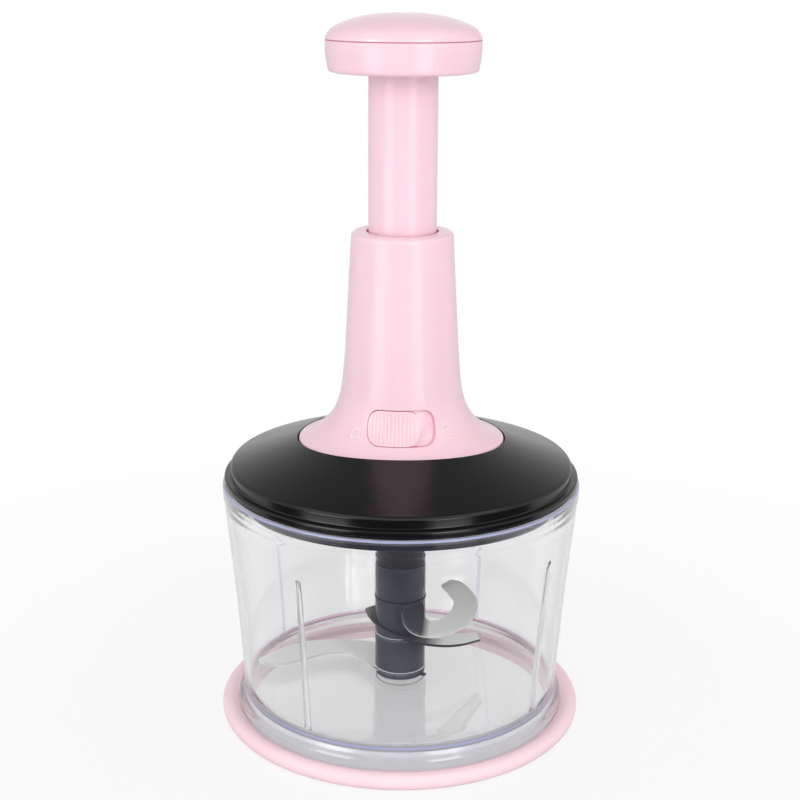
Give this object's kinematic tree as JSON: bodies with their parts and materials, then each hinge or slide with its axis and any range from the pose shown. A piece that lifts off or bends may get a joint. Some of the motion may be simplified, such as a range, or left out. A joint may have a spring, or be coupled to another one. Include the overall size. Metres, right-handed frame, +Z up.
{
  "type": "plunger food chopper",
  "caption": "Hand food chopper: a domed palm knob on a sprung plunger drives curved blades in a clear tapered bowl, under a dark domed lid with a sliding lock.",
  "frame": {"origin": "centre of the base ring's underside, on the bowl's axis", "axes": "+Z up along the bowl and plunger axis, -Y the front with the lock"},
  "size_m": [0.16, 0.16, 0.3046],
  "materials": {
    "clear_shell": "clear polished",
    "pink_silicone": "satin",
    "steel": "polished",
    "blade_steel": "ground and polished",
    "charcoal_plastic": "semi-gloss",
    "white_acetal": "smooth",
    "black_lid": "satin gloss",
    "dark_inner_lid": "semi-gloss",
    "grey_silicone": "satin",
    "pink_plastic": "satin gloss"
  },
  "bodies": {
    "bowl_base": {"bowl": "clear_shell", "base_ring": "pink_silicone", "pivot_pin": "steel"},
    "blade_rotor": {"hub_core": "charcoal_plastic", "hub_bush": "white_acetal", "hub_foot": "charcoal_plastic", "lower_blade": "blade_steel", "lower_spacer": "charcoal_plastic", "middle_blade": "blade_steel", "middle_spacer": "charcoal_plastic", "upper_blade": "blade_steel", "hub_sleeve": "charcoal_plastic"},
    "lid": {"lid_cover": "black_lid", "inner_lid": "dark_inner_lid", "lid_seal": "grey_silicone", "lid_screws": "steel", "housing": "pink_plastic", "housing_screws": "steel", "guide_bush": "white_acetal", "thrust_washer": "white_acetal", "drive_cap": "white_acetal"},
    "plunger": {"knob_cap": "pink_plastic", "knob_cup": "pink_plastic", "plunger_tube": "pink_plastic", "knob_screws": "steel", "helix_rod": "steel", "rod_screw": "steel", "spring_washer": "steel", "return_spring": "steel"},
    "drive": {"drive_nut": "white_acetal", "ratchet_crown": "white_acetal", "clutch_spring": "steel", "drive_shaft": "charcoal_plastic"},
    "lock": {"lock_slider": "pink_plastic", "lock_tongue": "white_acetal"}
  },
  "joints": [
    {"name": "lid_lift", "type": "slide", "parent": "bowl_base", "child": "lid", "axis": [0, 0, 1], "range_m": [0, 0.09]},
    {"name": "press", "type": "slide", "parent": "lid", "child": "plunger", "axis": [0, 0, -1], "range_m": [0, 0.06], "stiffness_N_per_m": 250, "springref_m": -0.02, "deforming": ["return_spring"]},
    {"name": "drive_spin", "type": "hinge", "parent": "lid", "child": "drive", "pos_m": [0, 0, 0.11], "axis": [0, 0, 1], "range_deg": [-721, 1]},
    {"name": "blade_spin", "type": "hinge", "parent": "bowl_base", "child": "blade_rotor", "pos_m": [0, 0, 0.034], "axis": [0, 0, 1], "range_deg": [-721, 1]},
    {"name": "lock_turn", "type": "hinge", "parent": "lid", "child": "lock", "pos_m": [0, 0, 0.138], "axis": [0, 0, 1], "range_deg": [0, 13]}
  ],
  "couplings": [
    {"joint": "drive_spin", "follows": "press", "rad_per_m": -209.44},
    {"joint": "blade_spin", "follows": "press", "rad_per_m": -209.44}
  ]
}
